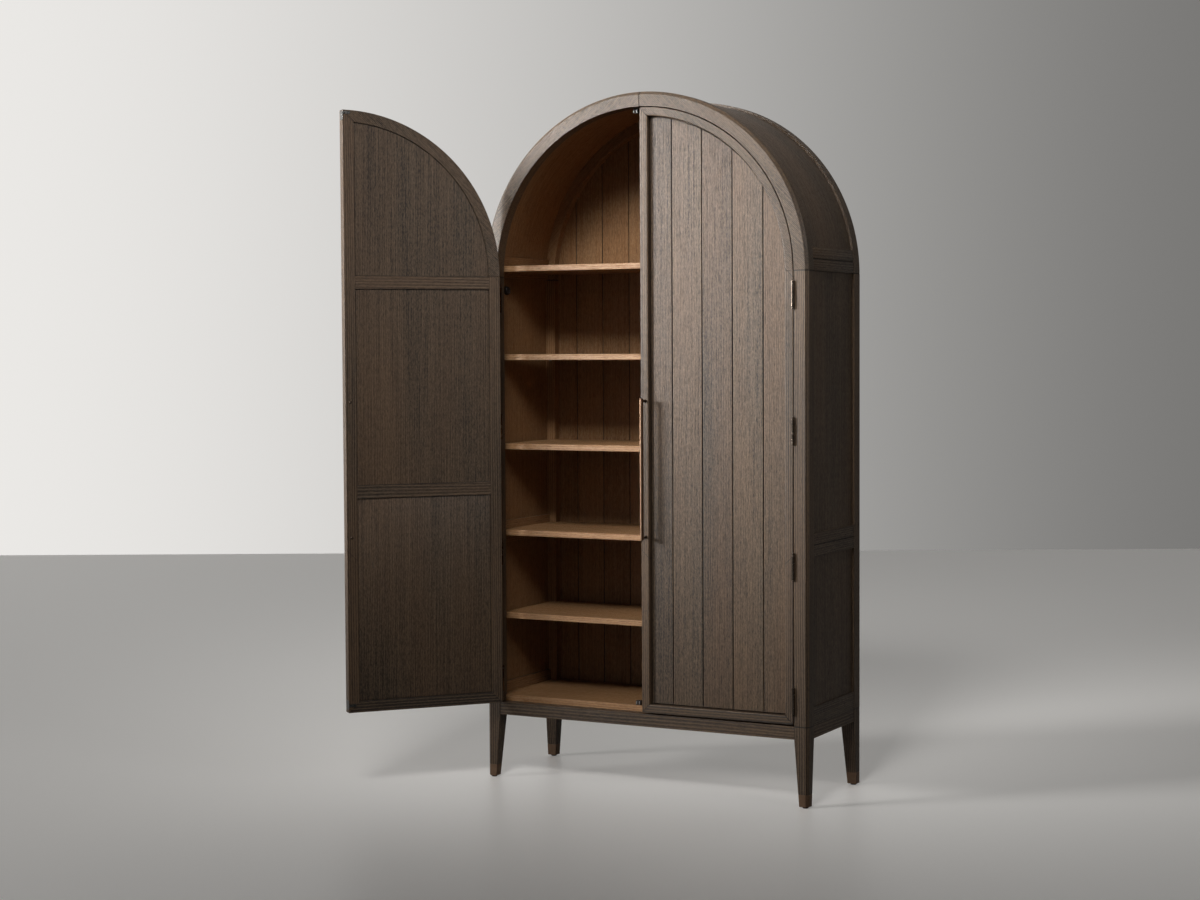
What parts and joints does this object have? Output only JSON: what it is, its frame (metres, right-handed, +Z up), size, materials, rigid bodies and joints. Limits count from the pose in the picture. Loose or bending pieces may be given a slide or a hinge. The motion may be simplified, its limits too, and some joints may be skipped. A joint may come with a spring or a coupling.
{
  "type": "arched two-door cabinet",
  "caption": "Tall dark oak cabinet with a barrel top, arched inset plank doors on butt hinges, slim bar handles, pale oak shelves inside and tapered legs with metal ferrules.",
  "frame": {"origin": "on the floor, midway between the four feet, under the middle of the case with its doors closed", "axes": "+X to the right as seen from the front, +Y from the front to the back, +Z up"},
  "size_m": [1.542, 0.9193, 2.37],
  "materials": {
    "fumed_oak": "dark open-pore oak, matt",
    "natural_oak": "pale oak, matt",
    "bronze": "aged bronze, satin",
    "black_metal": "black, satin",
    "steel": "satin",
    "black_plastic": "matt"
  },
  "bodies": {
    "case": {"apron_front": "fumed_oak", "apron_left": "fumed_oak", "apron_rear": "fumed_oak", "apron_right": "fumed_oak", "back_planks": "natural_oak", "bottom_board": "natural_oak", "case_leaves_left": "black_metal", "case_leaves_right": "black_metal", "catch_bodies": "black_metal", "catch_poles": "steel", "ferrules": "bronze", "front_arch_left": "fumed_oak", "front_arch_right": "fumed_oak", "front_post_left": "fumed_oak", "front_post_right": "fumed_oak", "glides": "black_plastic", "hinge_pins": "black_metal", "leg_front_left": "fumed_oak", "leg_front_right": "fumed_oak", "leg_rear_left": "fumed_oak", "leg_rear_right": "fumed_oak", "rear_arch_left": "fumed_oak", "rear_arch_right": "fumed_oak", "rear_post_left": "fumed_oak", "rear_post_right": "fumed_oak", "roof_panel": "fumed_oak", "shelf_1": "natural_oak", "shelf_2": "natural_oak", "shelf_3": "natural_oak", "shelf_4": "natural_oak", "shelf_5": "natural_oak", "shelf_pins": "steel", "side_cap": "black_plastic", "side_panels_left": "fumed_oak", "side_panels_right": "fumed_oak", "side_rails_left": "fumed_oak", "side_rails_right": "fumed_oak"},
    "door_left": {"hinge_stile_left": "fumed_oak", "meeting_stile_left": "fumed_oak", "top_rail_left": "fumed_oak", "bottom_rail_left": "fumed_oak", "cross_rails_left": "fumed_oak", "planks_left": "fumed_oak", "lining_panels_left": "fumed_oak", "door_leaves_left": "black_metal", "handle_bar_left": "bronze", "handle_fixings_left": "black_metal", "strike_plates_left": "steel"},
    "door_right": {"hinge_stile_right": "fumed_oak", "meeting_stile_right": "fumed_oak", "top_rail_right": "fumed_oak", "bottom_rail_right": "fumed_oak", "cross_rails_right": "fumed_oak", "planks_right": "fumed_oak", "lining_panels_right": "fumed_oak", "door_leaves_right": "black_metal", "handle_bar_right": "bronze", "handle_fixings_right": "black_metal", "strike_plates_right": "steel"}
  },
  "joints": [
    {"name": "door_left_hinge", "type": "hinge", "parent": "case", "child": "door_left", "pos_m": [-0.5585, -0.2352, 1.016], "axis": [0, 0, -1], "range_deg": [-130, 35]},
    {"name": "door_right_hinge", "type": "hinge", "parent": "case", "child": "door_right", "pos_m": [0.5585, -0.2352, 1.016], "axis": [0, 0, 1], "range_deg": [0, 165]}
  ]
}
